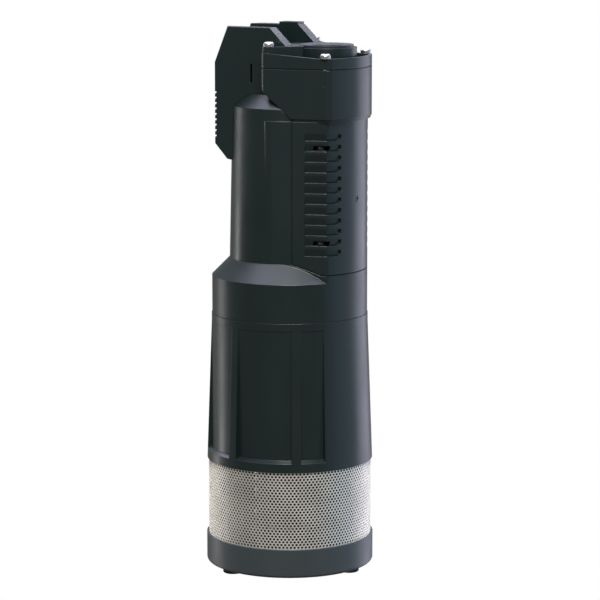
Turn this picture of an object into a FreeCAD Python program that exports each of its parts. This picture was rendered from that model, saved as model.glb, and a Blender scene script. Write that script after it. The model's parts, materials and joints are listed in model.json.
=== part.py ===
import FreeCAD, Part
import math
import os
from FreeCAD import Vector as V

# Submersible multistage bilge pump. Millimetres, Z up, standing on its feet at z = 0.
# The service panel and the outlet face -Y, the carrying handle is at +Y.

# overall
BASE_R = 75.0
HANDLE_TOP_Z = 486.5
FIN_PAD_TOP_Z = 488.8

# feet
FOOT_ANGLES = (0.0, 120.0, 240.0)
FOOT_RADIUS = 60.0
FOOT_R, FOOT_H = 9.0, 5.0
FOOT_STEM_R, FOOT_BARB_R = 3.9, 5.5

# base cup
CUP_FLOOR_Z, CUP_FLOOR_TOP_Z, CUP_TOP_Z = 5.0, 7.0, 31.0
CUP_INNER_R, CUP_EDGE_R = 73.05, 3.0
BASE_SCREW_ANGLES = (60.0, 180.0, 300.0)
BASE_SCREW_RADIUS, BASE_SCREW_R = 61.0, 2.1
BASE_SCREW_HEAD_R, BASE_SCREW_HEAD_Z = 4.0, 5.9
CUP_BOSS_R, CUP_BOSS_TOP_Z, CUP_SINK_R, CUP_SINK_Z = 6.0, 11.0, 4.3, 8.5
CAGE_POST_TOP_Z, BASE_SCREW_TOP_Z = 28.0, 25.0

# strainer and the cage behind it
SCREEN_R, SCREEN_T = 73.0, 0.6
CAGE_R, CAGE_RIB_INNER_R, CAGE_RIB_W, CAGE_RIBS = 72.3, 55.0, 2.6, 24
CAGE_RING_INNER_R, CAGE_RING_TOP_Z = 55.0, 12.0
CAGE_HOOP_Z = (43.0, 66.0, 87.0)
CAGE_HOOP_H, CAGE_HOOP_INNER_R = 3.0, 66.0
PLATE_Z, PLATE_TOP_Z = 100.0, 104.0
THROAT_R, THROAT_T, THROAT_Z = 24.0, 2.5, 40.0

# lower casing
LOW_BOTTOM_R, LOW_TOP_R, LOW_TOP_Z = 74.3, 69.8, 232.0
LOW_TAPER_TOP_Z, LOW_INNER_R = 225.0, 67.0
POCKET_R, POCKET_Z, POCKET_LEDGE_RISE, POCKET_TOP_Z = 69.5, 107.0, 3.2, 225.0
POCKET_START_ANGLE, RIB_ANGLES, RIB_HALF_ANGLE = 37.0, (57.5, 105.5, 153.5), 3.2

# stage stack
STAGES, STAGE_H = 4, 26.0
STAGE_R, STAGE_WALL, STAGE_FLOOR = 60.0, 3.0, 3.0
EYE_R, WEAR_R = 24.0, 21.85
IMPELLER_R, NECK_R, NECK_INNER_R, SHROUD_T = 46.0, 21.5, 18.5, 2.0
IMPELLER_LIFT, VANE_H, HUB_R, HUB_H = 5.0, 5.0, 11.0, 12.0
IMPELLER_VANES, DIFFUSER_VANES = 6, 8
DIFFUSER_LIFT, DIFFUSER_T, DIFFUSER_R = 15.0, 2.5, 50.0
SPACER_R = 10.0
BOLT_ANGLES = (45.0, 135.0, 225.0, 315.0)
BOLT_RADIUS, BOLT_R, BOLT_HEAD_AF, BOLT_HEAD_H, BOLT_TOP_Z = 62.8, 2.5, 7.0, 4.0, 240.0

# seal and bearing bracket
SEAL_Z, SEAL_PLATE_T, SEAT_R, SEAT_BORE_R = 208.0, 5.0, 14.0, 9.0
PLATE_PORTS, PORT_RADIUS, PORT_R = 16, 53.5, 3.2
BRACKET_Z, FLANGE_T, FLANGE_INNER_R, FLANGE_R = 213.0, 6.0, 57.0, 66.8
OIL_R, OIL_WALL, OIL_TOP_Z = 34.0, 4.0, 232.0
BRACKET_RIBS, BRACKET_RIB_W = 8, 5.0

# bearings
SHAFT_R, SHAFT_Z, SHAFT_TOP_Z = 7.0, 99.0, 391.0
BEARING_Z = (240.0, 376.0)
BEARING_W, BEARING_R, INNER_RING_R, OUTER_RING_R = 11.0, 17.5, 10.4, 14.1
BALL_R, BALL_RADIUS, BALLS, GROOVE_GAP = 2.4, 12.25, 8, 0.05
CAGE_T = 1.2

# motor
SHELL_R, SHELL_T, SHELL_Z, SHELL_TOP_Z = 44.0, 1.0, 236.0, 396.0
STATOR_R, STATOR_BORE_R, STATOR_Z, STATOR_TOP_Z = 42.9, 25.5, 276.0, 352.0
SLOTS, SLOT_W, SLOT_IN_R, SLOT_OUT_R = 18, 4.2, 28.0, 37.0
WINDING_H, WINDING_IN_R, WINDING_OUT_R = 17.0, 27.5, 40.0
ROTOR_R, ROTOR_Z, ROTOR_TOP_Z, END_RING_H, END_RING_IN_R = 25.0, 278.0, 350.0, 8.0, 14.0

# upper casing
BAND_R, SHOULDER_Z, WAIST_R = 69.3, 266.0, 53.4
SPIGOT_R, SPIGOT_INNER_R, SPIGOT_Z = 66.9, 64.5, 219.0
BAND_INNER_R, JACKET_R = 65.3, 47.5
ROOF_EDGE_R, ROOF_EDGE_Z, ROOF_TOP_R, ROOF_TOP_Z = 50.6, 417.0, 39.0, 428.6
DECK_Z, DECK_TOP_Z = 403.0, 407.0
DOME_FRONT_Y, DOME_WALL = 4.8, 3.0
WING_X, WING_FRONT_Y, WING_SLOPE, WING_REAR_Y = 36.0, -28.0, 0.9, 30.0
BOSS_R, BOSS_TOP_Z = 5.5, 248.0
CORNER_X, CORNER_Y, CORNER_R = 39.3, 57.07, 6.0
SIDE_REAR_X, SIDE_REAR_Y = 52.4, 10.2
DUCT_Y, DUCT_R = -31.0, 13.5

# service panel
PANEL_T, PANEL_REAR_Y, PANEL_BOTTOM_Z, PANEL_TOP_Z = 3.4, -27.0, 272.7, 407.0
PANEL_SLOPE, PANEL_SLOPE_Y, GASKET_GAP, GASKET_INSET = 0.35, -53.5, 0.8, 1.0
TONGUE_Z, TONGUE_T = 284.0, 1.8
GRIPS, GRIP_Z, GRIP_PITCH, GRIP_H, GRIP_DEPTH = 12, 289.8, 9.18, 6.5, 1.9
GRIP_SIDE_Y, GRIP_END_X, NOTCH_END_X = 38.3, 28.5, 25.5
NOTCH_RISE, NOTCH_H, NOTCH_DEPTH = 1.6, 3.6, 2.3
WINDOW_Z, WINDOW_H, WINDOW_ANGLES = (301.2, 384.5), 4.0, (31.3, 42.5)
CLIP_ANGLE, CLIP_W, CLIP_H, CLIP_IN_R, CLIP_OUT_R, CLIP_T = 36.9, 5.0, 2.4, 59.3, 64.8, 1.5
PANEL_SCREW_X, PANEL_SCREW_Z, PANEL_SEAT_Y = -5.0, 337.8, -67.4
PANEL_SCREW_R, PANEL_SCREW_HEAD_R, PANEL_SINK_R = 1.5, 2.3, 2.6

# control board
BOARD_X, BOARD_Z = (-31.0, 31.0), (292.0, 372.0)
BOARD_FRONT_Y, BOARD_REAR_Y = -57.2, -55.6
BOARD_SCREW_XZ = ((-26.0, 297.0), (26.0, 297.0), (-26.0, 367.0), (26.0, 367.0))
BOARD_SCREW_R, BOARD_SCREW_HEAD_R, BOARD_SCREW_HEAD_H = 1.5, 2.6, 1.6

# head and lid
HEAD_R, HEAD_CORNER_X, HEAD_CORNER_Y = 72.8, 41.0, 60.0
HEAD_REAR_X, HEAD_REAR_Y = 50.3, 4.5
HEAD_Z, HEAD_TOP_Z, HEAD_WALL, HEAD_FLOOR_T, HEAD_FILLET = 407.0, 452.0, 3.0, 3.0, 7.0
RIM_TOP_Z, RIM_REAR_Z, RIM_W, LID_T = 462.0, 466.0, 3.2, 3.5
SEAM_H, SEAM_DEPTH = 0.8, 0.8
PLATEAU_Z, PLATEAU_T, PLATEAU_R, PLATEAU_INSET, ROUND_DROP = 471.0, 3.0, 26.5, 0.6, 1.5
PLATEAU_SIDE_X, PLATEAU_SIDE_Y, PLATEAU_NECK_X, PLATEAU_NECK_Y = 48.6, -4.0, 24.0, -26.0
OUTLET_Y, OUTLET_R, OUTLET_BORE_R, OUTLET_TOP_Z = -37.0, 23.5, 19.5, 471.8
CHAMBER_R, CHAMBER_WALL, SOCKET_Z = 22.5, 3.5, 438.0
SCREW_FRONT, SCREW_REAR = (39.0, -55.6), (43.5, -2.6)
LID_SCREW_R, LID_SCREW_HEAD_R, LID_SCREW_HEAD_H = 2.5, 4.7, 4.2
LID_BOSS_R, LID_SCREW_LOW_Z = 5.2, 438.0
HEAD_SCREWS = ((-30.0, -5.5), (30.0, -5.5), (0.0, -2.5))

# check valve
SEAT_Z, SEAT_T, SEAT_HOLE_R = 411.0, 4.0, 12.0
POPPET_R, STEM_R, STEM_TOP_Z = 15.5, 3.0, 437.0
GUIDE_Z, GUIDE_T, GUIDE_HUB_R = 430.0, 4.0, 6.0

# handle
FIN_X, FIN_IN_X = 33.0, 21.0
HANDLE_R, HANDLE_INNER_R, HANDLE_WALL = 66.0, 60.5, 3.0
HANDLE_LOW_Z, HANDLE_OUTER_LOW_Z, HANDLE_BEND_Z, HANDLE_LEAN = 370.0, 393.0, 455.0, 11.5
FIN_FRONT_TOP_Y, FIN_FRONT_LOW_Y, HANDLE_FRONT_Y = 2.0, -14.0, 7.5
GROOVES, GROOVE_Z, GROOVE_PITCH, GROOVE_H, GROOVE_DEPTH = 9, 388.5, 4.8, 2.3, 1.3
CHANNEL_Z = 430.5
SLIT_Y, SLIT_Z, SLIT_TOP_Z, SLIT_W = 20.6, 438.0, 454.5, 2.0
FIN_PAD_FRONT_Y, FIN_PAD_Y, BACK_WALL_TOP_Z = 3.0, 21.5, 478.0

# cable gland
GLAND_Y, GLAND_STEM_R, GLAND_FLANGE_R, GLAND_COLLAR_R = 29.0, 8.0, 12.0, 9.5
GLAND_NUT_AF, CABLE_R, GROMMET_R, GROMMET_Z, GROMMET_TOP_Z = 22.0, 3.6, 7.2, 434.6, 446.6

ORIGIN, UP = V(0, 0, 0), V(0, 0, 1)


def spot(radius, angle):
    """The X and Y at an angle from the front, counted towards -X."""
    a = math.radians(angle)
    return -radius * math.sin(a), -radius * math.cos(a)


def cyl(r, z0, z1, x=0.0, y=0.0):
    return Part.makeCylinder(r, z1 - z0, V(x, y, z0))


def along_y(r, length, x, y, z):
    """A cylinder running back from a point."""
    return Part.makeCylinder(r, length, V(x, y, z), V(0, 1, 0))


def tube(r_in, r_out, z0, z1, x=0.0, y=0.0):
    return cyl(r_out, z0, z1, x, y).cut(cyl(r_in, z0 - 1, z1 + 1, x, y))


def box(x0, x1, y0, y1, z0, z1):
    return Part.makeBox(x1 - x0, y1 - y0, z1 - z0, V(x0, y0, z0))


def turned(points, angle=360.0, start=0.0):
    """Revolve an (r, z) outline about Z, from start degrees through angle."""
    wire = Part.makePolygon([V(r, 0, z) for r, z in points] + [V(points[0][0], 0, points[0][1])])
    solid = Part.Face(wire).revolve(ORIGIN, UP, angle)
    solid.rotate(ORIGIN, UP, start)
    return solid


def extrude(wire, z0, z1):
    solid = Part.Face(wire).extrude(V(0, 0, z1 - z0))
    solid.translate(V(0, 0, z0))
    return solid


def polygon(points, z0, z1):
    return extrude(Part.makePolygon([V(x, y, 0) for x, y in points] + [V(*points[0], 0)]), z0, z1)


def hexagon(across, z0, z1, x=0.0, y=0.0):
    r = across / math.sqrt(3)
    points = [(x + r * math.cos(math.radians(60 * k)), y + r * math.sin(math.radians(60 * k)))
              for k in range(6)]
    return polygon(points, z0, z1)


def spin(shape, angle):
    copy = shape.copy()
    copy.rotate(ORIGIN, UP, angle)
    return copy


def mirrored(shape):
    return shape.mirror(ORIGIN, V(1, 0, 0))


def join(shapes):
    solid = shapes[0].fuse(shapes[1:]) if len(shapes) > 1 else shapes[0]
    return solid.removeSplitter()


def group(shapes):
    return Part.makeCompound(shapes)


def sector(r_in, r_out, a0, a1, z0, z1):
    """A ring piece between two angles from the front, counted towards -X."""
    ring = [(r_in, z0), (r_out, z0), (r_out, z1), (r_in, z1)]
    return turned(ring, a1 - a0, 270.0 - a1)


def ring_round(r_major, r_minor, z, x=0.0, y=0.0):
    return Part.makeTorus(r_major, r_minor, V(x, y, z))


def coil(radius, wire_r, z0, z1, turns, x=0.0, y=0.0):
    """A round wire spring between two heights, ends within them."""
    low, high = z0 + wire_r, z1 - wire_r
    helix = Part.makeHelix((high - low) / turns, high - low, radius)
    circle = Part.Wire(Part.makeCircle(wire_r, V(radius, 0, 0), V(0, 1, 0)))
    solid = Part.Wire(helix).makePipeShell([circle], True, True)
    solid.translate(V(x, y, low))
    return solid


def front_plan(corner_x, corner_y, radius, rear):
    """Plan outline with straight sides, two front corners and an arc front."""
    left = [(-x, y) for x, y in reversed(rear)]
    lines = left + [(-corner_x, -corner_y)]
    edges = [Part.makeLine(V(*a, 0), V(*b, 0)) for a, b in zip(lines, lines[1:])]
    edges.append(Part.Arc(V(-corner_x, -corner_y, 0), V(0, -radius, 0),
                          V(corner_x, -corner_y, 0)).toShape())
    right = [(corner_x, -corner_y)] + list(rear)
    edges += [Part.makeLine(V(*a, 0), V(*b, 0)) for a, b in zip(right, right[1:])]
    edges.append(Part.makeLine(V(*rear[-1], 0), V(*left[0], 0)))
    return Part.Wire(edges)


def rounded(wire, radius, distance):
    """The outline with its corners rounded, drawn in by distance."""
    return wire.makeOffset2D(-radius, 2).makeOffset2D(radius - distance, 0)


def casing_plan(distance=0.0):
    wire = front_plan(CORNER_X, CORNER_Y, BAND_R, [(SIDE_REAR_X, -SIDE_REAR_Y), (SIDE_REAR_X, 0.0)])
    return rounded(wire, CORNER_R, distance)


def head_prism(z0, z1, distance=0.0):
    wire = front_plan(HEAD_CORNER_X, HEAD_CORNER_Y, HEAD_R, [(HEAD_REAR_X, HEAD_REAR_Y)])
    return extrude(rounded(wire, HEAD_FILLET, distance), z0, z1)


def side_slab(points, x0, x1):
    """A (y, z) outline seen from the side, as a slab between two X positions."""
    wire = Part.makePolygon([V(x0, y, z) for y, z in points] + [V(x0, *points[0])])
    return Part.Face(wire).extrude(V(x1 - x0, 0, 0))


# ---------------------------------------------------------------- base and strainer
def rubber_feet():
    feet = []
    for angle in FOOT_ANGLES:
        x, y = spot(FOOT_RADIUS, angle)
        pad = cyl(FOOT_R, 0, FOOT_H, x, y)
        pad = pad.makeChamfer(0.8, [e for e in pad.Edges if e.BoundBox.ZMax < 0.01])
        stem = cyl(FOOT_STEM_R, FOOT_H, CUP_FLOOR_TOP_Z, x, y)
        barb = Part.makeCone(FOOT_BARB_R, FOOT_STEM_R - 1, 3.0, V(x, y, CUP_FLOOR_TOP_Z))
        feet.append(join([pad, stem, barb]))
    return group(feet)


def base_cup():
    block = cyl(BASE_R, CUP_FLOOR_Z, CUP_TOP_Z)
    block = block.makeFillet(CUP_EDGE_R, [e for e in block.Edges if e.BoundBox.ZMax < CUP_FLOOR_Z + 0.1])
    cup = block.cut(cyl(CUP_INNER_R, CUP_FLOOR_TOP_Z, CUP_TOP_Z + 1))
    for angle in FOOT_ANGLES:
        x, y = spot(FOOT_RADIUS, angle)
        cup = cup.cut(cyl(FOOT_STEM_R, 0, 20, x, y))
    for angle in BASE_SCREW_ANGLES:
        x, y = spot(BASE_SCREW_RADIUS, angle)
        cup = cup.fuse(cyl(CUP_BOSS_R, CUP_FLOOR_TOP_Z - 1, CUP_BOSS_TOP_Z, x, y))
        cup = cup.cut([cyl(CUP_SINK_R, 0, CUP_SINK_Z, x, y), cyl(BASE_SCREW_R, 0, 20, x, y)])
    return cup.removeSplitter()


def base_screws():
    screws = []
    for angle in BASE_SCREW_ANGLES:
        x, y = spot(BASE_SCREW_RADIUS, angle)
        head = cyl(BASE_SCREW_HEAD_R, BASE_SCREW_HEAD_Z, CUP_SINK_Z, x, y)
        drive = hexagon(3.0, BASE_SCREW_HEAD_Z - 1, BASE_SCREW_HEAD_Z + 1.4, x, y)
        screws.append(join([head.cut(drive), cyl(BASE_SCREW_R, CUP_SINK_Z - 0.5, BASE_SCREW_TOP_Z, x, y)]))
    return group(screws)


def strainer_screen():
    return tube(SCREEN_R - SCREEN_T, SCREEN_R, CUP_FLOOR_TOP_Z, PLATE_TOP_Z)


def suction_cage():
    parts = [tube(CAGE_RING_INNER_R, CAGE_R, CUP_FLOOR_TOP_Z, CAGE_RING_TOP_Z),
             cyl(CAGE_R, PLATE_Z, PLATE_TOP_Z), cyl(THROAT_R + THROAT_T, THROAT_Z, PLATE_Z + 1)]
    for k in range(CAGE_RIBS):
        rib = box(CAGE_RIB_INNER_R, CAGE_R - 0.15, -CAGE_RIB_W / 2, CAGE_RIB_W / 2,
                  CAGE_RING_TOP_Z - 1, PLATE_Z + 1)
        parts.append(spin(rib, (k + 0.5) * 360 / CAGE_RIBS))
    for z in CAGE_HOOP_Z:
        parts.append(tube(CAGE_HOOP_INNER_R, CAGE_R - 1.6, z, z + CAGE_HOOP_H))
    cuts = [cyl(THROAT_R, THROAT_Z - 1, PLATE_TOP_Z + 1)]
    for angle in BASE_SCREW_ANGLES:
        x, y = spot(BASE_SCREW_RADIUS, angle)
        parts.append(cyl(CUP_BOSS_R, CUP_BOSS_TOP_Z, CAGE_POST_TOP_Z, x, y))
        cuts += [cyl(CUP_BOSS_R + 0.05, 0, CUP_BOSS_TOP_Z, x, y),
                 cyl(BASE_SCREW_R, 0, CAGE_POST_TOP_Z - 2, x, y)]
    for angle in FOOT_ANGLES:
        cuts.append(cyl(FOOT_BARB_R + 0.6, 0, CAGE_RING_TOP_Z + 1, *spot(FOOT_RADIUS, angle)))
    for angle in BOLT_ANGLES:
        cuts.append(cyl(BOLT_R, PLATE_Z - 5, PLATE_TOP_Z + 1, *spot(BOLT_RADIUS, angle)))
    return join(parts).cut(cuts)


# ---------------------------------------------------------------- lower casing and stages
def lower_casing():
    shell = turned([(CUP_INNER_R, PLATE_Z), (LOW_BOTTOM_R, PLATE_Z), (LOW_TOP_R, LOW_TAPER_TOP_Z),
                    (LOW_TOP_R, LOW_TOP_Z), (LOW_INNER_R, LOW_TOP_Z), (LOW_INNER_R, PLATE_TOP_Z),
                    (CUP_INNER_R, PLATE_TOP_Z)])
    stops = [POCKET_START_ANGLE]
    for angle in RIB_ANGLES + tuple(360 - a for a in reversed(RIB_ANGLES)):
        stops += [angle - RIB_HALF_ANGLE, angle + RIB_HALF_ANGLE]
    stops.append(360 - POCKET_START_ANGLE)
    outline = [(LOW_BOTTOM_R + 4, POCKET_Z - 1), (POCKET_R, POCKET_Z + POCKET_LEDGE_RISE),
               (POCKET_R, POCKET_TOP_Z), (LOW_BOTTOM_R + 4, POCKET_TOP_Z)]
    for a0, a1 in zip(stops[::2], stops[1::2]):
        shell = shell.cut(turned(outline, a1 - a0, 270.0 - a1))
    return shell


def stage_floor_z(stage):
    return PLATE_TOP_Z + stage * STAGE_H


def stage_casings():
    cups = []
    for k in range(STAGES):
        z = stage_floor_z(k)
        cup = cyl(STAGE_R, z, z + STAGE_H)
        cups.append(cup.cut([cyl(STAGE_R - STAGE_WALL, z + STAGE_FLOOR, z + STAGE_H + 1),
                             cyl(EYE_R, z - 1, z + STAGE_FLOOR + 1)]))
    return group(cups)


def wear_rings():
    rings = []
    for k in range(STAGES):
        z = stage_floor_z(k)
        rings.append(join([tube(WEAR_R, EYE_R, z, z + STAGE_FLOOR + 1),
                           tube(WEAR_R, EYE_R + 2, z + STAGE_FLOOR, z + STAGE_FLOOR + 1)]))
    return group(rings)


def curved_vane(r_in, r_out, sweep, thick, z0, z1, steps=8):
    """A vane of even thickness that leans back as it goes outwards."""
    middle = []
    for k in range(steps + 1):
        r, a = r_in + (r_out - r_in) * k / steps, math.radians(sweep) * k / steps
        middle.append(V(r * math.cos(a), r * math.sin(a), 0))
    near, far = [], []
    for k, p in enumerate(middle):
        way = middle[min(k + 1, steps)] - middle[max(k - 1, 0)]
        side = V(-way.y, way.x, 0).normalize() * (thick / 2)
        near.append(((p + side).x, (p + side).y))
        far.append(((p - side).x, (p - side).y))
    return polygon(near + far[::-1], z0, z1)


def impellers():
    wheels = []
    for k in range(STAGES):
        z = stage_floor_z(k) + IMPELLER_LIFT
        top = z + SHROUD_T + VANE_H
        parts = [tube(NECK_INNER_R, NECK_R, z - IMPELLER_LIFT + 0.6, z + 0.5),
                 tube(NECK_INNER_R, IMPELLER_R, z, z + SHROUD_T),
                 cyl(IMPELLER_R, top, top + SHROUD_T),
                 cyl(HUB_R, z + SHROUD_T, z + SHROUD_T + HUB_H)]
        vane = curved_vane(NECK_INNER_R - 3, IMPELLER_R - 1.5, 58.0, 2.0, z + SHROUD_T - 0.5, top + 0.5)
        vane = vane.cut(cyl(NECK_INNER_R, z - 1, z + SHROUD_T))
        parts += [spin(vane, n * 360 / IMPELLER_VANES) for n in range(IMPELLER_VANES)]
        wheels.append(join(parts).cut(cyl(SHAFT_R, z - 10, z + 40)))
    return group(wheels)


def hub_bottom_z(stage):
    return stage_floor_z(stage) + IMPELLER_LIFT + SHROUD_T


def impeller_spacers():
    return group([tube(SHAFT_R, SPACER_R, hub_bottom_z(k) + HUB_H, hub_bottom_z(k + 1))
                  for k in range(STAGES - 1)])


def diffusers():
    plates = []
    for k in range(STAGES):
        z = stage_floor_z(k) + DIFFUSER_LIFT
        top = stage_floor_z(k + 1)
        parts = [cyl(DIFFUSER_R, z, z + DIFFUSER_T)]
        vane = curved_vane(DIFFUSER_R - 32, STAGE_R - STAGE_WALL + 3, -38.0, 2.2, z, top)
        vane = vane.common(cyl(STAGE_R - STAGE_WALL, z - 1, top + 1))
        parts += [spin(vane, n * 360 / DIFFUSER_VANES) for n in range(DIFFUSER_VANES)]
        plates.append(join(parts).cut(cyl(HUB_R + 0.5, z - 1, z + 40)))
    return group(plates)


def tie_bolts():
    bolts = []
    for angle in BOLT_ANGLES:
        x, y = spot(BOLT_RADIUS, angle)
        bolts.append(join([hexagon(BOLT_HEAD_AF, PLATE_Z - BOLT_HEAD_H, PLATE_Z, x, y),
                           cyl(BOLT_R, PLATE_Z - 1, BOLT_TOP_Z, x, y)]))
    return group(bolts)


def shaft_washer():
    top = hub_bottom_z(0)
    return tube(SHAFT_R, HUB_R, top - 2, top)


def shaft_nut():
    top = hub_bottom_z(0) - 2
    return hexagon(19.0, top - 7.5, top).cut(cyl(SHAFT_R, 0, 200))


# ---------------------------------------------------------------- seal and bearing bracket
def seal_plate():
    plate = cyl(STAGE_R, SEAL_Z, SEAL_Z + SEAL_PLATE_T).cut(cyl(SEAT_R, 0, 300))
    ports = [cyl(PORT_R, 0, 300, *spot(PORT_RADIUS, (k + 0.5) * 360 / PLATE_PORTS))
             for k in range(PLATE_PORTS)]
    return plate.cut(ports)


def seal_seat():
    return tube(SEAT_BORE_R, SEAT_R, SEAL_Z, SEAL_Z + SEAL_PLATE_T)


def seal_ring():
    return tube(SHAFT_R, 12.0, BRACKET_Z + 0.1, BRACKET_Z + 5)


def seal_spring():
    return coil(9.4, 0.7, BRACKET_Z + 5.05, BRACKET_Z + 13.95, 4)


def seal_collar():
    return tube(SHAFT_R, 11.5, BRACKET_Z + 14, BRACKET_Z + 17)


def bearing_bracket():
    wall_r = OIL_R + OIL_WALL
    parts = [tube(OIL_R, wall_r, BRACKET_Z, OIL_TOP_Z + 1),
             cyl(SHELL_R, OIL_TOP_Z, SHELL_Z),
             cyl(SHELL_R - SHELL_T, OIL_TOP_Z, SHELL_Z + 6),
             cyl(BEARING_R + 4, SHELL_Z, BEARING_Z[0] + BEARING_W + 1),
             tube(FLANGE_INNER_R, FLANGE_R, BRACKET_Z, BRACKET_Z + FLANGE_T)]
    for k in range(BRACKET_RIBS):
        arm = box(wall_r - 1, FLANGE_INNER_R + 1, -BRACKET_RIB_W / 2, BRACKET_RIB_W / 2,
                  BRACKET_Z, BRACKET_Z + FLANGE_T)
        parts.append(spin(arm, k * 360 / BRACKET_RIBS))
    cuts = [cyl(13.0, OIL_TOP_Z - 1, BEARING_Z[0] + 1), cyl(BEARING_R, BEARING_Z[0], BEARING_Z[0] + 30)]
    cuts += [cyl(BOLT_R, 200, 260, *spot(BOLT_RADIUS, a)) for a in BOLT_ANGLES]
    return join(parts).cut(cuts)


def lip_seal():
    body = tube(SHAFT_R + 0.35, 13.0, OIL_TOP_Z + 1, OIL_TOP_Z + 7)
    return body.cut(tube(9.0, 11.5, OIL_TOP_Z + 2.5, OIL_TOP_Z + 8))


def casing_o_ring():
    return ring_round(66.14, 0.84, 225.7)


# ---------------------------------------------------------------- bearings and motor
def race_cut(z):
    return ring_round(BALL_RADIUS, BALL_R + GROOVE_GAP, z + BEARING_W / 2)


def bearing_inner_rings():
    return group([tube(SHAFT_R, INNER_RING_R, z, z + BEARING_W).cut(race_cut(z)) for z in BEARING_Z])


def bearing_outer_rings():
    return group([tube(OUTER_RING_R, BEARING_R, z, z + BEARING_W).cut(race_cut(z)) for z in BEARING_Z])


def ball_spots(z):
    turns = [2 * math.pi * k / BALLS for k in range(BALLS)]
    return [V(BALL_RADIUS * math.cos(a), BALL_RADIUS * math.sin(a), z + BEARING_W / 2) for a in turns]


def bearing_balls():
    return group([Part.makeSphere(BALL_R, p) for z in BEARING_Z for p in ball_spots(z)])


def ball_cages():
    cages = []
    for z in BEARING_Z:
        middle = z + BEARING_W / 2
        ring = tube(BALL_RADIUS - CAGE_T / 2, BALL_RADIUS + CAGE_T / 2, middle - 3.4, middle + 3.4)
        pockets = [Part.makeCylinder(BALL_R + GROOVE_GAP, 5, V(0.8 * p.x, 0.8 * p.y, p.z), V(p.x, p.y, 0))
                   for p in ball_spots(z)]
        cages.append(ring.cut(pockets))
    return group(cages)


def pump_shaft():
    return cyl(SHAFT_R, SHAFT_Z, SHAFT_TOP_Z)


def rotor_core():
    return tube(SHAFT_R, ROTOR_R, ROTOR_Z, ROTOR_TOP_Z)


def rotor_end_rings():
    return group([tube(END_RING_IN_R, ROTOR_R - 1, ROTOR_Z - END_RING_H, ROTOR_Z),
                  tube(END_RING_IN_R, ROTOR_R - 1, ROTOR_TOP_Z, ROTOR_TOP_Z + END_RING_H)])


def slot_boxes(z0, z1):
    slot = box(SLOT_IN_R, SLOT_OUT_R, -SLOT_W / 2, SLOT_W / 2, z0, z1)
    return [spin(slot, k * 360 / SLOTS) for k in range(SLOTS)]


def stator_core():
    return tube(STATOR_BORE_R, STATOR_R, STATOR_Z, STATOR_TOP_Z).cut(
        slot_boxes(STATOR_Z - 1, STATOR_TOP_Z + 1))


def stator_windings():
    ends = [tube(WINDING_IN_R, WINDING_OUT_R, STATOR_Z - WINDING_H, STATOR_Z),
            tube(WINDING_IN_R, WINDING_OUT_R, STATOR_TOP_Z, STATOR_TOP_Z + WINDING_H)]
    ends = [e.makeFillet(4.0, [g for g in e.Edges if len(g.Vertexes) == 1 and (
        abs(g.BoundBox.ZMax - STATOR_Z) > 0.1 and abs(g.BoundBox.ZMax - STATOR_TOP_Z) > 0.1)]) for e in ends]
    return join(ends + slot_boxes(STATOR_Z - 1, STATOR_TOP_Z + 1))


def motor_shell():
    return cyl(SHELL_R, SHELL_Z, SHELL_TOP_Z).cut(cyl(SHELL_R - SHELL_T, SHELL_Z - 1, SHELL_TOP_Z - 1.5))


def end_shield():
    low, high = BEARING_Z[1] - 2, BEARING_Z[1] + BEARING_W
    parts = [tube(BEARING_R, BEARING_R + 4, low, high + 4), cyl(SHELL_R - SHELL_T, high + 0.5, high + 4),
             tube(SHELL_R - SHELL_T - 3, SHELL_R - SHELL_T, low, high + 4)]
    return join(parts).cut(cyl(SHAFT_R + 2, low - 1, high + 20))


# ---------------------------------------------------------------- upper casing and panel
def casing_body():
    return turned([(0, LOW_TOP_Z), (BAND_R, LOW_TOP_Z), (BAND_R, SHOULDER_Z),
                   (WAIST_R, SHOULDER_Z + BAND_R - WAIST_R), (ROOF_EDGE_R, ROOF_EDGE_Z),
                   (ROOF_TOP_R, ROOF_TOP_Z), (0, ROOF_TOP_Z)])


def panel_region(gap):
    """The space of the service panel, drawn back by gap from the casing."""
    low, back = PANEL_BOTTOM_Z + gap, PANEL_REAR_Y - gap
    rise = PANEL_SLOPE * (back - PANEL_SLOPE_Y)
    return side_slab([(-80, low), (PANEL_SLOPE_Y, low), (back, low + rise), (back, PANEL_TOP_Z),
                      (-80, PANEL_TOP_Z)], -60, 60)


def wings(distance):
    """The two rear side spaces where the casing roof runs forward under the head."""
    low = DECK_TOP_Z - distance * 1.35
    top = low + WING_SLOPE * (WING_REAR_Y - WING_FRONT_Y)
    wing = side_slab([(WING_FRONT_Y, DECK_Z), (WING_FRONT_Y, low), (WING_REAR_Y, top),
                      (WING_REAR_Y, DECK_Z)], WING_X + distance, 60)
    wing = wing.common(box(0, 70, -80, 80, DECK_TOP_Z, 470))
    return wing.fuse(mirrored(wing))


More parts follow.
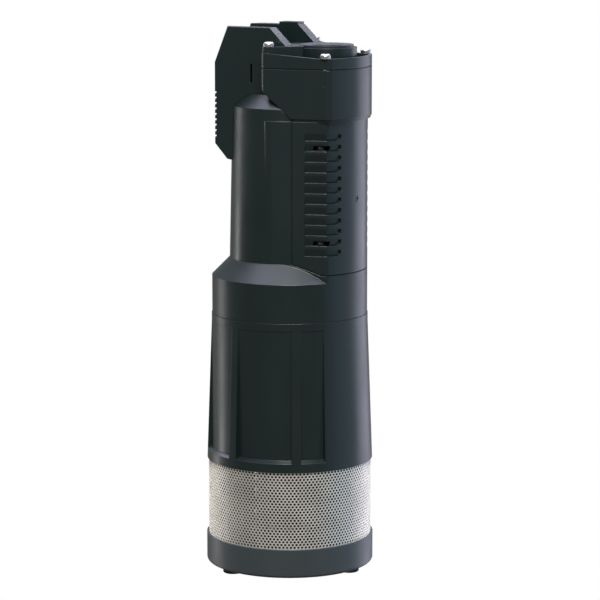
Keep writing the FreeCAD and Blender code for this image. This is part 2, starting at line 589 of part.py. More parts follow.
def upper_casing():
    body = casing_body()
    front = extrude(casing_plan(), SHOULDER_Z - 10, PANEL_TOP_Z).cut(panel_region(0))
    hollow = extrude(casing_plan(PANEL_T), PANEL_BOTTOM_Z - 3.2, PANEL_TOP_Z + 1).cut(body)
    tongue = extrude(casing_plan(PANEL_T), TONGUE_Z, PANEL_TOP_Z)
    tongue = tongue.cut(extrude(casing_plan(PANEL_T + TONGUE_T), TONGUE_Z, PANEL_TOP_Z))
    tongue = tongue.common(box(-60, 60, PANEL_REAR_Y - 4, PANEL_REAR_Y + 1, TONGUE_Z, PANEL_TOP_Z))
    spigot = tube(SPIGOT_INNER_R, SPIGOT_R, SPIGOT_Z, LOW_TOP_Z + 4)
    bosses = [cyl(BOSS_R, SPIGOT_Z, BOSS_TOP_Z, *spot(62.0, a)).common(cyl(SPIGOT_R, 200, LOW_TOP_Z + 1))
              for a in BOLT_ANGLES]
    bosses += [cyl(BOSS_R, LOW_TOP_Z, BOSS_TOP_Z, *spot(62.0, a)) for a in BOLT_ANGLES]
    jacket = turned([(0, 200), (BAND_INNER_R, 200), (BAND_INNER_R, SHOULDER_Z - 1.6),
                     (JACKET_R, SHOULDER_Z - 1.6 + BAND_INNER_R - JACKET_R), (JACKET_R, DECK_Z), (0, DECK_Z)])
    dome = turned([(0, DECK_TOP_Z), (47.3, DECK_TOP_Z), (47.3, ROOF_EDGE_Z - 1.4),
                   (ROOF_TOP_R - 1.3, ROOF_TOP_Z - DOME_WALL), (0, ROOF_TOP_Z - DOME_WALL)])
    dome = dome.common(box(-60, 60, DOME_FRONT_Y + DOME_WALL, 80, 400, 440).fuse(wings(DOME_WALL)))
    under_head = box(-60, 60, -80, DOME_FRONT_Y, DECK_TOP_Z, 440).cut(wings(0))
    shell = body.cut(jacket).cut(dome).cut(under_head)
    solid = shell.fuse(front.cut(hollow).cut(body))
    posts = [cyl(4.5, 398.5, DECK_Z + 1, x, y) for x, y in HEAD_SCREWS]
    for x, z in BOARD_SCREW_XZ:
        post = along_y(2 * BOARD_SCREW_R, 14, x, BOARD_REAR_Y, z)
        posts.append(post.cut(cyl(JACKET_R + 1, 280, 400)))
    posts.append(along_y(4.0, 15, PANEL_SCREW_X, -65.2, PANEL_SCREW_Z).cut(cyl(JACKET_R + 1, 280, 400)))
    solid = join([solid, tongue, spigot] + bosses + posts)
    cuts = [cyl(BOLT_R, 200, BOLT_TOP_Z, *spot(BOLT_RADIUS, a)) for a in BOLT_ANGLES]
    cuts += [cyl(DUCT_R, DECK_Z - 1, DECK_TOP_Z + 1, 0, DUCT_Y), tube(65.3, 70, 224.0, 227.4)]
    cuts += [cyl(1.6, 399.5, 420, x, y) for x, y in HEAD_SCREWS]
    cuts += [cyl(GLAND_STEM_R, ROOF_TOP_Z - 12, ROOF_TOP_Z + 1, 0, GLAND_Y),
             ring_round(DUCT_R + 3, 1.2, DECK_TOP_Z, 0, DUCT_Y)]
    cuts += [along_y(BOARD_SCREW_R, 8, x, -56, z) for x, z in BOARD_SCREW_XZ]
    cuts.append(along_y(PANEL_SCREW_R, 10, PANEL_SCREW_X, -66, PANEL_SCREW_Z))
    return solid.cut(cuts)


def panel_gasket():
    wall = extrude(casing_plan(GASKET_INSET), 266, PANEL_TOP_Z).cut(
        extrude(casing_plan(PANEL_T), 265, PANEL_TOP_Z + 1))
    return wall.common(panel_region(0)).cut(panel_region(GASKET_GAP)).cut(casing_body())


def grip_slot():
    """One grip slot of the left side at z = 0: a flat ledge, tapering out upwards, and its notch."""
    over = 1.5
    wedge = [(-GRIP_DEPTH, 0), (over, 0), (over, GRIP_H * (1 + over / GRIP_DEPTH))]
    turn = math.atan2(CORNER_X - SIDE_REAR_X, SIDE_REAR_Y - CORNER_Y)
    reach = -CORNER_X * math.cos(turn) - CORNER_Y * math.sin(turn)
    outline = Part.makePolygon([V(reach + u, -80, z) for u, z in wedge + wedge[:1]])
    side = spin(Part.Face(outline).extrude(V(0, 160, 0)), math.degrees(turn))
    front = turned([(BAND_R + u, z) for u, z in wedge], 45, 213)
    slot = side.fuse(front).common(box(-60, -GRIP_END_X, -80, -GRIP_SIDE_Y, 0, GRIP_H))
    notch = extrude(casing_plan(-1.0), NOTCH_RISE, NOTCH_RISE + NOTCH_H).cut(
        extrude(casing_plan(NOTCH_DEPTH), 0, GRIP_H))
    return slot.fuse(notch.common(box(-GRIP_END_X - 0.2, -NOTCH_END_X, -80, -40, 0, GRIP_H)))


def service_panel():
    wall = extrude(casing_plan(), 262, PANEL_TOP_Z).cut(extrude(casing_plan(PANEL_T), 261, PANEL_TOP_Z + 1))
    wall = wall.common(panel_region(GASKET_GAP)).cut(casing_body())
    cuts = []
    slot = grip_slot()
    for k in range(GRIPS):
        left = slot.copy()
        left.translate(V(0, 0, GRIP_Z + k * GRIP_PITCH))
        cuts += [left, mirrored(left)]
    for z in WINDOW_Z:
        window = sector(58, 80, WINDOW_ANGLES[0], WINDOW_ANGLES[1], z - WINDOW_H / 2, z + WINDOW_H / 2)
        cuts += [window, mirrored(window)]
    cuts += [along_y(PANEL_SINK_R, 4, PANEL_SCREW_X, PANEL_SEAT_Y - 4, PANEL_SCREW_Z),
             along_y(PANEL_SCREW_R, 10, PANEL_SCREW_X, -71, PANEL_SCREW_Z)]
    return wall.cut(cuts).removeSplitter()


def panel_screw():
    x, y, z = PANEL_SCREW_X, PANEL_SEAT_Y, PANEL_SCREW_Z
    head = along_y(PANEL_SCREW_HEAD_R, 1.5, x, y - 1.5, z).cut(box(x - 3, x + 3, y - 3, y - 0.8, z - 0.4, z + 0.4))
    return join([head, along_y(PANEL_SCREW_R, 10.4, x, y, z)])


def latch_clips():
    clips = []
    half = math.degrees(CLIP_W / 2 / CLIP_OUT_R)
    for z in WINDOW_Z:
        low, top = z - CLIP_H / 2, z + CLIP_H / 2
        tongue = sector(CLIP_IN_R, CLIP_OUT_R, CLIP_ANGLE - half, CLIP_ANGLE + half, low, top)
        leg = sector(CLIP_IN_R, CLIP_IN_R + CLIP_T, CLIP_ANGLE - half, CLIP_ANGLE + half, z - 9, top)
        clip = join([tongue, leg])
        clips += [clip, mirrored(clip)]
    return group(clips)


# ---------------------------------------------------------------- electronics
def control_board():
    board = box(*BOARD_X, BOARD_FRONT_Y, BOARD_REAR_Y, *BOARD_Z)
    holes = [along_y(BOARD_SCREW_R, 8, x, -60, z) for x, z in BOARD_SCREW_XZ]
    return board.cut(holes + [along_y(4.3, 8, PANEL_SCREW_X, -60, PANEL_SCREW_Z)])


def board_components():
    y = BOARD_FRONT_Y
    blocks = [box(-16, -4, y - 4.5, y, 350, 364), box(4, 18, y - 3, y, 346, 362),
              box(-18, -7, y - 4, y, 300, 318), box(-2, 16, y - 4.6, y, 298, 306),
              box(8, 17, y - 2, y, 314, 328), box(-17, -9, y - 2, y, 324, 332)]
    return group(blocks)


def board_screws():
    screws = []
    for x, z in BOARD_SCREW_XZ:
        head = along_y(BOARD_SCREW_HEAD_R, BOARD_SCREW_HEAD_H, x, BOARD_FRONT_Y - BOARD_SCREW_HEAD_H, z)
        screws.append(join([head, along_y(BOARD_SCREW_R, 8, x, BOARD_FRONT_Y - 0.2, z)]))
    return group(screws)


def run_capacitor():
    can = box(-38.5, -28, -49, -29, HEAD_Z + HEAD_FLOOR_T, 446)
    return can.makeFillet(2.5, [e for e in can.Edges if e.BoundBox.ZLength > 30])


def pressure_sensor():
    return join([Part.makeCylinder(5.5, 12, V(CHAMBER_R + CHAMBER_WALL, OUTLET_Y, 424), V(1, 0, 0)).cut(
        box(30, 50, OUTLET_Y - 9, OUTLET_Y + 9, 400, 419.5)),
        Part.makeCylinder(2.5, CHAMBER_WALL + 1, V(CHAMBER_R + 0.2, OUTLET_Y, 424), V(1, 0, 0))])


# ---------------------------------------------------------------- head, lid and outlet
def lid_screw_places():
    """X, Y and seat height of each lid screw."""
    return [(side * x, y, z) for side in (-1, 1)
            for (x, y), z in ((SCREW_FRONT, RIM_TOP_Z), (SCREW_REAR, PLATEAU_Z))]


def head_body():
    shell = head_prism(HEAD_Z, HEAD_TOP_Z)
    bead = head_prism(HEAD_Z, HEAD_Z + 2.2).cut(head_prism(HEAD_Z - 1, HEAD_Z + 3, 0.9))
    shell = shell.cut(bead).cut(head_prism(HEAD_Z - 1, HEAD_TOP_Z + 1, HEAD_WALL))
    floor = head_prism(HEAD_Z, HEAD_Z + HEAD_FLOOR_T, 1.0).common(cyl(ROOF_EDGE_R, 400, 420))
    chamber = cyl(CHAMBER_R + CHAMBER_WALL, HEAD_Z, HEAD_TOP_Z, 0, OUTLET_Y)
    bosses = [cyl(LID_BOSS_R, HEAD_Z + 1.5, HEAD_TOP_Z, x, y) for x, y, z in lid_screw_places()]
    bosses = [b.common(head_prism(HEAD_Z, HEAD_TOP_Z, 0.5)) for b in bosses]
    solid = join([shell, floor, chamber] + bosses)
    cuts = [wings(0), cyl(CHAMBER_R, SEAT_Z, 460, 0, OUTLET_Y), cyl(DUCT_R, 400, 420, 0, DUCT_Y),
            Part.makeCylinder(2.5, 6, V(CHAMBER_R - 1, OUTLET_Y, 424), V(1, 0, 0)),
            ring_round(DUCT_R + 3, 1.2, DECK_TOP_Z, 0, DUCT_Y)]
    cuts += [cyl(LID_SCREW_R, LID_SCREW_LOW_Z, 500, x, y) for x, y, z in lid_screw_places()]
    cuts += [cyl(1.6, 400, 420, x, y) for x, y in HEAD_SCREWS]
    return solid.cut(cuts)


def head_screws():
    low = HEAD_Z + HEAD_FLOOR_T
    return group([join([cyl(3.2, low, low + 2.4, x, y), cyl(1.6, 399.5, low + 1, x, y)])
                  for x, y in HEAD_SCREWS])


def plateau(z0, z1, distance=0.0):
    x, y = PLATEAU_SIDE_X - distance, PLATEAU_SIDE_Y + distance
    neck_x, neck_y, rear = PLATEAU_NECK_X - distance, PLATEAU_NECK_Y + distance, HEAD_REAR_Y + 1
    neck = polygon([(-x, rear), (-x, y), (-neck_x, neck_y), (neck_x, neck_y), (x, y), (x, rear)], z0, z1)
    neck = neck.common(head_prism(z0, z1, PLATEAU_INSET + distance))
    return join([neck, cyl(PLATEAU_R - distance, z0, z1 - ROUND_DROP, 0, OUTLET_Y)])


def top_lid():
    rim = head_prism(HEAD_TOP_Z, RIM_REAR_Z).cut(head_prism(HEAD_TOP_Z - 1, RIM_REAR_Z + 1, RIM_W))
    front, rear = -HEAD_CORNER_Y - 13, HEAD_REAR_Y
    top = Part.makePolygon([V(0, front, RIM_TOP_Z), V(0, -HEAD_CORNER_Y + 12, RIM_TOP_Z), V(0, rear, RIM_REAR_Z),
                            V(0, rear + 1, RIM_REAR_Z + 5), V(0, front, RIM_REAR_Z + 5), V(0, front, RIM_TOP_Z)])
    over = Part.Face(top).extrude(V(60, 0, 0)).fuse(Part.Face(top).extrude(V(-60, 0, 0)))
    parts = [rim.cut(over), head_prism(HEAD_TOP_Z, HEAD_TOP_Z + LID_T), plateau(HEAD_TOP_Z, PLATEAU_Z)]
    parts += [cyl(6.0, HEAD_TOP_Z, RIM_TOP_Z, x, y).common(head_prism(HEAD_TOP_Z, RIM_TOP_Z))
              for x, y, z in lid_screw_places() if z == RIM_TOP_Z]
    hollow = plateau(HEAD_TOP_Z - 1, PLATEAU_Z - PLATEAU_T, PLATEAU_T)
    hollow = hollow.cut([cyl(LID_BOSS_R, 440, 480, x, y) for x, y, z in lid_screw_places()])
    seam = head_prism(HEAD_TOP_Z, HEAD_TOP_Z + SEAM_H)
    seam = seam.cut(head_prism(HEAD_TOP_Z, HEAD_TOP_Z + SEAM_H, SEAM_DEPTH))
    cuts = [hollow, seam, cyl(OUTLET_R, 440, 480, 0, OUTLET_Y)]
    cuts += [cyl(LID_SCREW_R, 440, 480, x, y) for x, y, z in lid_screw_places()]
    return join(parts).cut(cuts)


def lid_screws():
    screws = []
    for x, y, z in lid_screw_places():
        head = cyl(LID_SCREW_HEAD_R, z, z + LID_SCREW_HEAD_H, x, y)
        head = head.makeFillet(2.2, [e for e in head.Edges if e.BoundBox.ZMin > z + 1])
        cross = [box(x - a, x + a, y - b, y + b, z + 1.4, z + 5) for a, b in ((2.4, 0.5), (0.5, 2.4))]
        screws.append(join([head.cut(cross), cyl(LID_SCREW_R, LID_SCREW_LOW_Z, z + 1, x, y)]))
    return group(screws)


def outlet_socket():
    parts = [cyl(CHAMBER_R, SOCKET_Z, HEAD_TOP_Z, 0, OUTLET_Y),
             cyl(OUTLET_R, HEAD_TOP_Z, OUTLET_TOP_Z, 0, OUTLET_Y)]
    bore = cyl(OUTLET_BORE_R, 430, 480, 0, OUTLET_Y)
    lead = Part.makeCone(OUTLET_BORE_R, OUTLET_BORE_R + 2, 2.0, V(0, OUTLET_Y, OUTLET_TOP_Z - 2))
    groove = tube(CHAMBER_R - 1.6, CHAMBER_R + 2, 443.5, 446.9, 0, OUTLET_Y)
    return join(parts).cut([bore, lead, groove])


def outlet_o_ring():
    return ring_round(CHAMBER_R - 0.8, 0.79, 445.2, 0, OUTLET_Y)


def duct_o_ring():
    return ring_round(DUCT_R + 3, 1.18, DECK_TOP_Z, 0, DUCT_Y)


# ---------------------------------------------------------------- check valve
def valve_seat():
    return tube(SEAT_HOLE_R, CHAMBER_R, SEAT_Z, SEAT_Z + SEAT_T, 0, OUTLET_Y)


def valve_poppet():
    low = SEAT_Z + SEAT_T + 0.3
    disc = cyl(POPPET_R, low, low + 3, 0, OUTLET_Y)
    return join([disc, cyl(STEM_R, low + 2, STEM_TOP_Z, 0, OUTLET_Y)]).cut(
        tube(SEAT_HOLE_R - 1, POPPET_R - 1, low - 1, low + 1.4, 0, OUTLET_Y))


def poppet_seal():
    low = SEAT_Z + SEAT_T + 0.3
    return tube(SEAT_HOLE_R - 1, POPPET_R - 1, low, low + 1.4, 0, OUTLET_Y)


def valve_spring():
    return coil(8.0, 0.6, SEAT_Z + SEAT_T + 3.35, GUIDE_Z - 0.05, 3, 0, OUTLET_Y)


def valve_guide():
    parts = [tube(CHAMBER_R - 3, CHAMBER_R, GUIDE_Z, GUIDE_Z + GUIDE_T, 0, OUTLET_Y),
             cyl(GUIDE_HUB_R + 3.5, GUIDE_Z, GUIDE_Z + GUIDE_T, 0, OUTLET_Y)]
    arm = box(0, CHAMBER_R - 2, -1.8, 1.8, GUIDE_Z, GUIDE_Z + GUIDE_T)
    for k in range(3):
        leg = spin(arm, 30 + 120 * k)
        leg.translate(V(0, OUTLET_Y, 0))
        parts.append(leg)
    return join(parts).cut(cyl(STEM_R + 0.06, 400, 450, 0, OUTLET_Y))


# ---------------------------------------------------------------- handle and cable gland
def side_profile(distance, x0, x1):
    """The handle seen from the side, as a slab between two X positions."""
    d, back = distance, HANDLE_R - distance
    return side_slab([(FIN_FRONT_LOW_Y + d, PLATEAU_Z), (FIN_FRONT_TOP_Y + d, HANDLE_TOP_Z - d),
                      (HANDLE_R - HANDLE_LEAN - d, HANDLE_TOP_Z - d), (back, HANDLE_BEND_Z),
                      (back, HANDLE_OUTER_LOW_Z + d), (45, HANDLE_LOW_Z + d),
                      (HANDLE_FRONT_Y + d, HANDLE_LOW_Z + d - 6), (HANDLE_FRONT_Y + d, PLATEAU_Z)], x0, x1)


def carry_handle():
    round_back = cyl(HANDLE_R, 350, 500)
    lean = turned([(HANDLE_R, HANDLE_BEND_Z), (90, HANDLE_BEND_Z), (90, 500),
                   (HANDLE_R - HANDLE_LEAN * 45 / 32, 500)])
    solid = side_profile(0, -FIN_X, FIN_X).common(round_back).cut(lean)
    channel = box(-FIN_IN_X, FIN_IN_X, -30, 80, CHANNEL_Z, 520).common(
        turned([(0, 400), (HANDLE_INNER_R, 400), (HANDLE_INNER_R, HANDLE_BEND_Z),
                (HANDLE_INNER_R - HANDLE_LEAN * 45 / 32, 500), (0, 500)]))
    under = side_profile(HANDLE_WALL, -FIN_X + HANDLE_WALL, FIN_X - HANDLE_WALL).common(
        cyl(HANDLE_R - HANDLE_WALL - 0.5, 350, 500)).cut(box(-60, 60, -80, 80, CHANNEL_Z - 4, 500))
    fin_hollow = side_profile(HANDLE_WALL, FIN_IN_X + HANDLE_WALL, FIN_X - HANDLE_WALL).common(
        cyl(HANDLE_INNER_R - 4, 350, 500)).cut(box(-60, 60, -80, HANDLE_FRONT_Y + 4, 350, 500))
    fin_hollow = fin_hollow.cut(box(-60, 60, -80, 80, 300, CHANNEL_Z - 5))
    cuts = [channel, under, fin_hollow, mirrored(fin_hollow)]
    pad = box(FIN_IN_X, FIN_X, FIN_PAD_FRONT_Y, FIN_PAD_Y, HANDLE_TOP_Z - 1, FIN_PAD_TOP_Z)
    cuts.append(box(-FIN_IN_X, FIN_IN_X, 30, 80, BACK_WALL_TOP_Z, 500))
    for k in range(GROOVES):
        z = GROOVE_Z + k * GROOVE_PITCH
        cuts.append(tube(HANDLE_R - GROOVE_DEPTH, HANDLE_R + 3, z, z + GROOVE_H))
    slit = box(-FIN_X - 1, -FIN_X + HANDLE_WALL + 0.5, SLIT_Y - SLIT_W / 2, SLIT_Y + SLIT_W / 2,
               SLIT_Z, SLIT_TOP_Z)
    cuts += [slit, mirrored(slit), casing_body(), cyl(GLAND_STEM_R, 400, 440, 0, GLAND_Y)]
    return join([solid.cut(cuts), pad])


def gland_body():
    z = ROOF_TOP_Z
    parts = [cyl(GLAND_STEM_R, z - 8, z + 5, 0, GLAND_Y), cyl(GLAND_FLANGE_R, CHANNEL_Z, z + 6, 0, GLAND_Y),
             cyl(GLAND_COLLAR_R, CHANNEL_Z, GROMMET_TOP_Z, 0, GLAND_Y)]
    return join(parts).cut([cyl(CABLE_R + 1, 300, 500, 0, GLAND_Y),
                            cyl(GROMMET_R, GROMMET_Z, 500, 0, GLAND_Y)])


def gland_grommet():
    return tube(CABLE_R, GROMMET_R, GROMMET_Z, GROMMET_TOP_Z, 0, GLAND_Y)


def gland_nut():
    z = ROOF_TOP_Z
    return hexagon(GLAND_NUT_AF, z + 7, z + 20, 0, GLAND_Y).cut(
        [cyl(GLAND_COLLAR_R, z, GROMMET_TOP_Z, 0, GLAND_Y), cyl(CABLE_R + 1, z, 500, 0, GLAND_Y)])


NODES = (rubber_feet, base_cup, base_screws, strainer_screen, suction_cage, lower_casing, stage_casings,
         wear_rings, impellers, impeller_spacers, diffusers, tie_bolts, shaft_washer, shaft_nut, seal_plate,
         seal_seat, seal_ring, seal_spring, seal_collar, bearing_bracket, lip_seal, casing_o_ring,
         bearing_inner_rings, bearing_outer_rings, bearing_balls, ball_cages, pump_shaft, rotor_core,
         rotor_end_rings, stator_core, stator_windings, motor_shell, end_shield, upper_casing, panel_gasket,
         service_panel, panel_screw, latch_clips, control_board, board_components, board_screws,
         run_capacitor, pressure_sensor, head_body, head_screws, top_lid, lid_screws, outlet_socket,
         outlet_o_ring, duct_o_ring, valve_seat, valve_poppet, poppet_seal, valve_spring, valve_guide,
         carry_handle, gland_body, gland_grommet, gland_nut)

os.makedirs("parts", exist_ok=True)
for node in NODES:
    shape = node()
    problems = [] if shape.isValid() and shape.Volume > 0 else ["not valid"]
    print(node.__name__, len(shape.Solids), round(shape.Volume), *problems)
    shape.exportStep("parts/" + node.__name__ + ".step")
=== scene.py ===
import json
import math

import bpy
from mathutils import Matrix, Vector


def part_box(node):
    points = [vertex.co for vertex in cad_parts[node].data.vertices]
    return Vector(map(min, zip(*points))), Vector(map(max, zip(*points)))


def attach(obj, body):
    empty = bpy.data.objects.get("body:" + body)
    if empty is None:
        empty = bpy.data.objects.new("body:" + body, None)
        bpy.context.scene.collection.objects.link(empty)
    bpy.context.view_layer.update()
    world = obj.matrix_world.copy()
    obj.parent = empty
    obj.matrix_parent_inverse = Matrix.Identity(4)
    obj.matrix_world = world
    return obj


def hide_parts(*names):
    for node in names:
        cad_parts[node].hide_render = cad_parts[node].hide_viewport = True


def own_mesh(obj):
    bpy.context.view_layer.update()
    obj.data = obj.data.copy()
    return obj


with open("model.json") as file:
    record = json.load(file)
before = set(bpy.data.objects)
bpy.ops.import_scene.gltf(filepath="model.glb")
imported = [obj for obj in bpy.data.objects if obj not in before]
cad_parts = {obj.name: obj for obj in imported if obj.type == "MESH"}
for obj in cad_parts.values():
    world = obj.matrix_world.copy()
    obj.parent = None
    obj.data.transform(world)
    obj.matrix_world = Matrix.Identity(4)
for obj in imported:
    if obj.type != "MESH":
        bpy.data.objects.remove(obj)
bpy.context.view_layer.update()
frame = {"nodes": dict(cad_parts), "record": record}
nodes = frame["nodes"]

# ---------------------------------------------------------------- materials
NOISE_SPAN = (0.3, 0.7)


class Paint:
    """A Principled material and the small node patterns that feed it."""

    def __init__(self, name, color, rough, metal=0.0):
        self.mat = bpy.data.materials.new(name)
        self.mat.use_nodes = True
        self.tree = self.mat.node_tree
        self.shader = self.tree.nodes["Principled BSDF"]
        self.color, self.rough, self.normal = color, rough, None
        self.shader.inputs["Base Color"].default_value = (*color, 1)
        self.shader.inputs["Roughness"].default_value = rough
        self.shader.inputs["Metallic"].default_value = metal
        self.place = self.tree.nodes.new("ShaderNodeTexCoord").outputs["Object"]

    def node(self, kind, **values):
        n = self.tree.nodes.new(kind)
        for key, value in values.items():
            setattr(n, key, value)
        return n

    def link(self, a, b):
        self.tree.links.new(a, b)

    def stretch(self, scale):
        mapping = self.node("ShaderNodeMapping")
        mapping.inputs["Scale"].default_value = scale
        self.link(self.place, mapping.inputs["Vector"])
        return mapping.outputs["Vector"]

    def noise(self, size, detail, scale=(1, 1, 1)):
        """A noise whose features are about size metres across."""
        n = self.node("ShaderNodeTexNoise")
        n.inputs["Scale"].default_value = 1.0 / size
        n.inputs["Detail"].default_value = detail
        self.link(self.stretch(scale), n.inputs["Vector"])
        return n.outputs["Fac"]

    def ramp(self, fac, low, high):
        """Blends from the low to the high colour over the middle of a noise's range."""
        r = self.node("ShaderNodeValToRGB")
        for element, position, color in zip(r.color_ramp.elements, NOISE_SPAN, (low, high)):
            element.position = position
            element.color = (*color, 1)
        self.link(fac, r.inputs["Fac"])
        return r.outputs["Color"]

    def blotch(self, size, spread, scale=(1, 1, 1)):
        """Varies the base colour by a small share, over patches of that size."""
        low = tuple(c * (1 - spread) for c in self.color)
        high = tuple(min(1.0, c * (1 + spread)) for c in self.color)
        self.link(self.ramp(self.noise(size, 4.0, scale), low, high), self.shader.inputs["Base Color"])

    def vary_rough(self, size, spread, scale=(1, 1, 1)):
        m = self.node("ShaderNodeMapRange")
        m.inputs["From Min"].default_value, m.inputs["From Max"].default_value = NOISE_SPAN
        m.inputs["To Min"].default_value = max(0.02, self.rough - spread)
        m.inputs["To Max"].default_value = min(1.0, self.rough + spread)
        self.link(self.noise(size, 5.0, scale), m.inputs["Value"])
        self.link(m.outputs["Result"], self.shader.inputs["Roughness"])

    def soft_edges(self, radius):
        b = self.node("ShaderNodeBevel", samples=6)
        b.inputs["Radius"].default_value = radius
        self.normal = b.outputs["Normal"]
        self.link(self.normal, self.shader.inputs["Normal"])

    def bump(self, fac, height, strength=1.0):
        b = self.node("ShaderNodeBump")
        b.inputs["Strength"].default_value = strength
        b.inputs["Distance"].default_value = height
        self.link(fac, b.inputs["Height"])
        if self.normal:
            self.link(self.normal, b.inputs["Normal"])
        self.normal = b.outputs["Normal"]
        self.link(self.normal, self.shader.inputs["Normal"])


def moulded(name, color, rough, grain=0.0006, depth=0.00003, edge=0.0007):
    """Injection-moulded plastic: a fine spark-eroded grain, soft edges and slow flow marks."""
    p = Paint(name, color, rough)
    p.soft_edges(edge)
    p.blotch(size=0.04, spread=0.12, scale=(1, 1, 0.35))
    p.vary_rough(size=0.03, spread=0.05, scale=(1, 1, 0.5))
    p.bump(p.noise(size=0.11, detail=1.0, scale=(1, 1, 0.4)), height=0.0006, strength=0.5)
    p.bump(p.noise(size=grain, detail=2.0), height=depth)
    return p.mat


def brushed(name, color, rough, stretch=(1, 1, 40), edge=0.0003, spread=0.08):
    """Bare metal with a fine grain, drawn out along the axes with the smaller stretch."""
    p = Paint(name, color, rough, 1.0)
    p.soft_edges(edge)
    p.blotch(size=0.012, spread=0.08, scale=stretch)
    p.vary_rough(size=0.004, spread=spread, scale=stretch)
    p.bump(p.noise(size=0.002, detail=3.0, scale=stretch), height=0.00002)
    return p.mat


def perforated(name, color, rough):
    """Thin punched sheet: too fine for a brushed grain, so only slow changes of tone."""
    p = Paint(name, color, rough, 1.0)
    p.blotch(size=0.03, spread=0.05)
    p.vary_rough(size=0.02, spread=0.04)
    return p.mat


black = moulded("black_plastic", (0.0040, 0.0100, 0.0098), 0.34)
slate = moulded("slate_plastic", (0.034, 0.042, 0.046), 0.42, edge=0.0009)
outlet_black = moulded("outlet_plastic", (0.011, 0.016, 0.018), 0.40)
inner_black = moulded("inner_plastic", (0.012, 0.013, 0.014), 0.55)
stage_grey = moulded("stage_plastic", (0.10, 0.11, 0.12), 0.5)
rubber = moulded("rubber", (0.012, 0.012, 0.012), 0.8, grain=0.0012, depth=0.00006, edge=0.001)
ivory = moulded("valve_plastic", (0.62, 0.60, 0.54), 0.45)
carbon = moulded("seal_carbon", (0.02, 0.02, 0.022), 0.3)
ceramic = moulded("seal_ceramic", (0.80, 0.79, 0.74), 0.22)
component = moulded("component_plastic", (0.03, 0.035, 0.05), 0.45)
strainer = perforated("strainer_steel", (0.88, 0.84, 0.77), 0.56)
screw_steel = brushed("screw_steel", (0.55, 0.545, 0.54), 0.34, (6, 6, 6), 0.0004, 0.06)
screw_black = brushed("screw_black", (0.030, 0.031, 0.033), 0.4, (6, 6, 6), 0.0004, 0.06)
spring_steel = brushed("spring_steel", (0.62, 0.62, 0.62), 0.3)
shaft_steel = brushed("shaft_steel", (0.60, 0.60, 0.61), 0.2, (1, 1, 30))
cage_steel = brushed("cage_steel", (0.5, 0.5, 0.5), 0.35)
shell_steel = brushed("shell_steel", (0.60, 0.60, 0.61), 0.28, (25, 25, 1))
core_steel = brushed("core_steel", (0.30, 0.30, 0.31), 0.45, (1, 1, 60))
rotor_alloy = brushed("rotor_alloy", (0.70, 0.70, 0.71), 0.45, (3, 3, 3))
cast_alloy = brushed("cast_alloy", (0.55, 0.55, 0.56), 0.55, (2, 2, 2), 0.001)
brass = brushed("sensor_brass", (0.70, 0.50, 0.20), 0.28)
copper = brushed("copper_winding", (0.50, 0.17, 0.06), 0.35, (1, 1, 25))
board = moulded("board_green", (0.010, 0.10, 0.04), 0.35)

FINISH = {
    "black_plastic": black, "slate_plastic": slate, "outlet_plastic": outlet_black,
    "inner_plastic": inner_black, "stage_plastic": stage_grey, "rubber": rubber, "valve_plastic": ivory,
    "seal_carbon": carbon, "seal_ceramic": ceramic, "component_plastic": component,
    "strainer_steel": strainer, "screw_steel": screw_steel, "screw_black": screw_black,
    "spring_steel": spring_steel, "shaft_steel": shaft_steel, "cage_steel": cage_steel,
    "shell_steel": shell_steel, "core_steel": core_steel, "rotor_alloy": rotor_alloy,
    "cast_alloy": cast_alloy, "sensor_brass": brass, "copper_winding": copper, "board_green": board,
}
for part in frame["record"]["subparts"]:
    obj = nodes[part["node"]]
    for slot in obj.material_slots:
        slot.material = FINISH[part["material_slot"]]
    if not obj.material_slots:
        obj.data.materials.append(FINISH[part["material_slot"]])

# ---------------------------------------------------------------- perforated strainer
SCREEN_T = 0.0006
HOLE_R = 0.00115
COLUMNS, ROWS = 138, 28
SIDES, FIRST_CORNER = 8, 225
ROW_Z, ROW_H = 0.0314, 0.00244


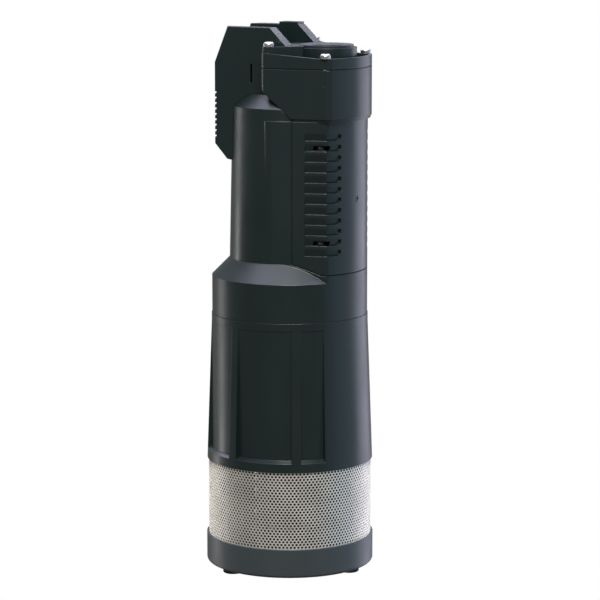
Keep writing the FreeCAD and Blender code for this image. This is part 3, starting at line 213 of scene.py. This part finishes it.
def strainer_mesh():
    """A sleeve of sheet steel with staggered rows of round holes, each hole eight-sided."""
    low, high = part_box("strainer_screen")
    outer = high.x
    radii = (outer, outer - SCREEN_T)
    step = math.pi / COLUMNS
    verts, faces, known = [], [], {}

    def point(side, u, z):
        key = (side, round(u, 4) % (2 * COLUMNS), round(z, 7))
        if key not in known:
            a = u * step
            known[key] = len(verts)
            verts.append((radii[side] * math.sin(a), -radii[side] * math.cos(a), z))
        return known[key]

    def face(side, ring):
        faces.append(ring if side == 0 else ring[::-1])

    def strip(side, k, z0, z1):
        return [point(side, k, z0), point(side, k + 1, z0), point(side, k + 1, z1), point(side, k, z1)]

    for row in range(ROWS):
        z0 = ROW_Z + row * ROW_H
        z1, zm = z0 + ROW_H, z0 + ROW_H / 2
        for column in range(COLUMNS):
            u = 2 * column + row % 2
            rims = []
            for side in (0, 1):
                edge = [point(side, u, z0), point(side, u + 1, z0), point(side, u + 2, z0),
                        point(side, u + 2, zm), point(side, u + 2, z1), point(side, u + 1, z1),
                        point(side, u, z1), point(side, u, zm)]
                rim = []
                for k in range(SIDES):
                    a = math.radians(FIRST_CORNER + 360 / SIDES * k)
                    du = HOLE_R * math.cos(a) / (outer * step)
                    rim.append(point(side, u + 1 + du, zm + HOLE_R * math.sin(a)))
                for k in range(SIDES):
                    n = (k + 1) % SIDES
                    face(side, [edge[k], edge[n], rim[n], rim[k]])
                rims.append(rim)
            for k in range(SIDES):
                n = (k + 1) % SIDES
                faces.append([rims[0][k], rims[0][n], rims[1][n], rims[1][k]])
    top = ROW_Z + ROWS * ROW_H
    for k in range(2 * COLUMNS):
        for side in (0, 1):
            for za, zb in ((low.z, ROW_Z), (top, high.z)):
                face(side, strip(side, k, za, zb))
        faces.append([point(1, k, low.z), point(1, k + 1, low.z), point(0, k + 1, low.z), point(0, k, low.z)])
        faces.append([point(0, k, high.z), point(0, k + 1, high.z), point(1, k + 1, high.z),
                      point(1, k, high.z)])
    mesh = bpy.data.meshes.new("strainer_sheet")
    mesh.from_pydata(verts, [], faces)
    mesh.update()
    mesh.validate()
    return mesh


sheet = bpy.data.objects.new("strainer_sheet", strainer_mesh())
bpy.context.scene.collection.objects.link(sheet)
sheet.data.materials.append(strainer)
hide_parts("strainer_screen")
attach(sheet, "housing")

# ---------------------------------------------------------------- valve spring
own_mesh(nodes["valve_spring"])

# ---------------------------------------------------------------- light and camera
AZIMUTH = math.radians(-62.0)
TOWARDS = Vector((math.sin(AZIMUTH), -math.cos(AZIMUTH), 0))
RIGHT = Vector((math.cos(AZIMUTH), math.sin(AZIMUTH), 0))
UP = Vector((0, 0, 1))
MIDDLE = UP * 0.2
AIM = RIGHT * 0.0092 + UP * 0.242
CAMERA_DISTANCE, CAMERA_Z = 2.4, 0.634
LENS, SENSOR_WIDTH = 163.0, 36.0
BACKGROUND, AMBIENT = 1.0, 0.22


def area_light(name, place, width, height, power, color=(1, 1, 1)):
    data = bpy.data.lights.new(name, "AREA")
    data.shape, data.size, data.size_y = "RECTANGLE", width, height
    data.energy, data.color = power, color
    light = bpy.data.objects.new(name, data)
    light.location = place
    light.rotation_euler = (MIDDLE - place).to_track_quat("-Z", "Y").to_euler()
    bpy.context.scene.collection.objects.link(light)


area_light("side_right", RIGHT * 1.5 - TOWARDS * 1.15, width=1.2, height=2.2, power=17,
           color=(0.78, 0.80, 1.0))
area_light("side_blue", RIGHT * 1.9 + TOWARDS * 0.3, width=1.6, height=2.0, power=6, color=(0.45, 0.72, 1.0))
area_light("strip_left", -RIGHT * 1.65 - TOWARDS * 0.95, width=0.22, height=2.2, power=8)
area_light("top", UP * 2.2 - TOWARDS * 0.9, width=2.6, height=2.6, power=120, color=(0.80, 0.78, 1.0))
area_light("front_high", TOWARDS * 1.5 + UP * 2.3, width=1.2, height=1.0, power=110)

world = bpy.data.worlds.new("studio")
bpy.context.scene.world = world
world.use_nodes = True
world_tree = world.node_tree


def white(node, strength):
    node.inputs["Color"].default_value = (1, 1, 1, 1)
    node.inputs["Strength"].default_value = strength
    return node.outputs["Background"]


ambient = white(world_tree.nodes["Background"], AMBIENT)
seen = white(world_tree.nodes.new("ShaderNodeBackground"), BACKGROUND)
mix = world_tree.nodes.new("ShaderNodeMixShader")
path = world_tree.nodes.new("ShaderNodeLightPath")
world_tree.links.new(path.outputs["Is Camera Ray"], mix.inputs["Fac"])
world_tree.links.new(ambient, mix.inputs[1])
world_tree.links.new(seen, mix.inputs[2])
world_tree.links.new(mix.outputs["Shader"], world_tree.nodes["World Output"].inputs["Surface"])

camera_data = bpy.data.cameras.new("camera")
camera_data.lens, camera_data.sensor_width = LENS, SENSOR_WIDTH
camera_data.clip_start, camera_data.clip_end = 0.05, 50
camera = bpy.data.objects.new("camera", camera_data)
camera.location = TOWARDS * CAMERA_DISTANCE + UP * CAMERA_Z
camera.rotation_euler = (AIM - camera.location).to_track_quat("-Z", "Y").to_euler()
bpy.context.scene.collection.objects.link(camera)
bpy.context.scene.camera = camera
bpy.context.scene.view_settings.view_transform = "Standard"
bpy.context.scene.view_settings.look = "None"
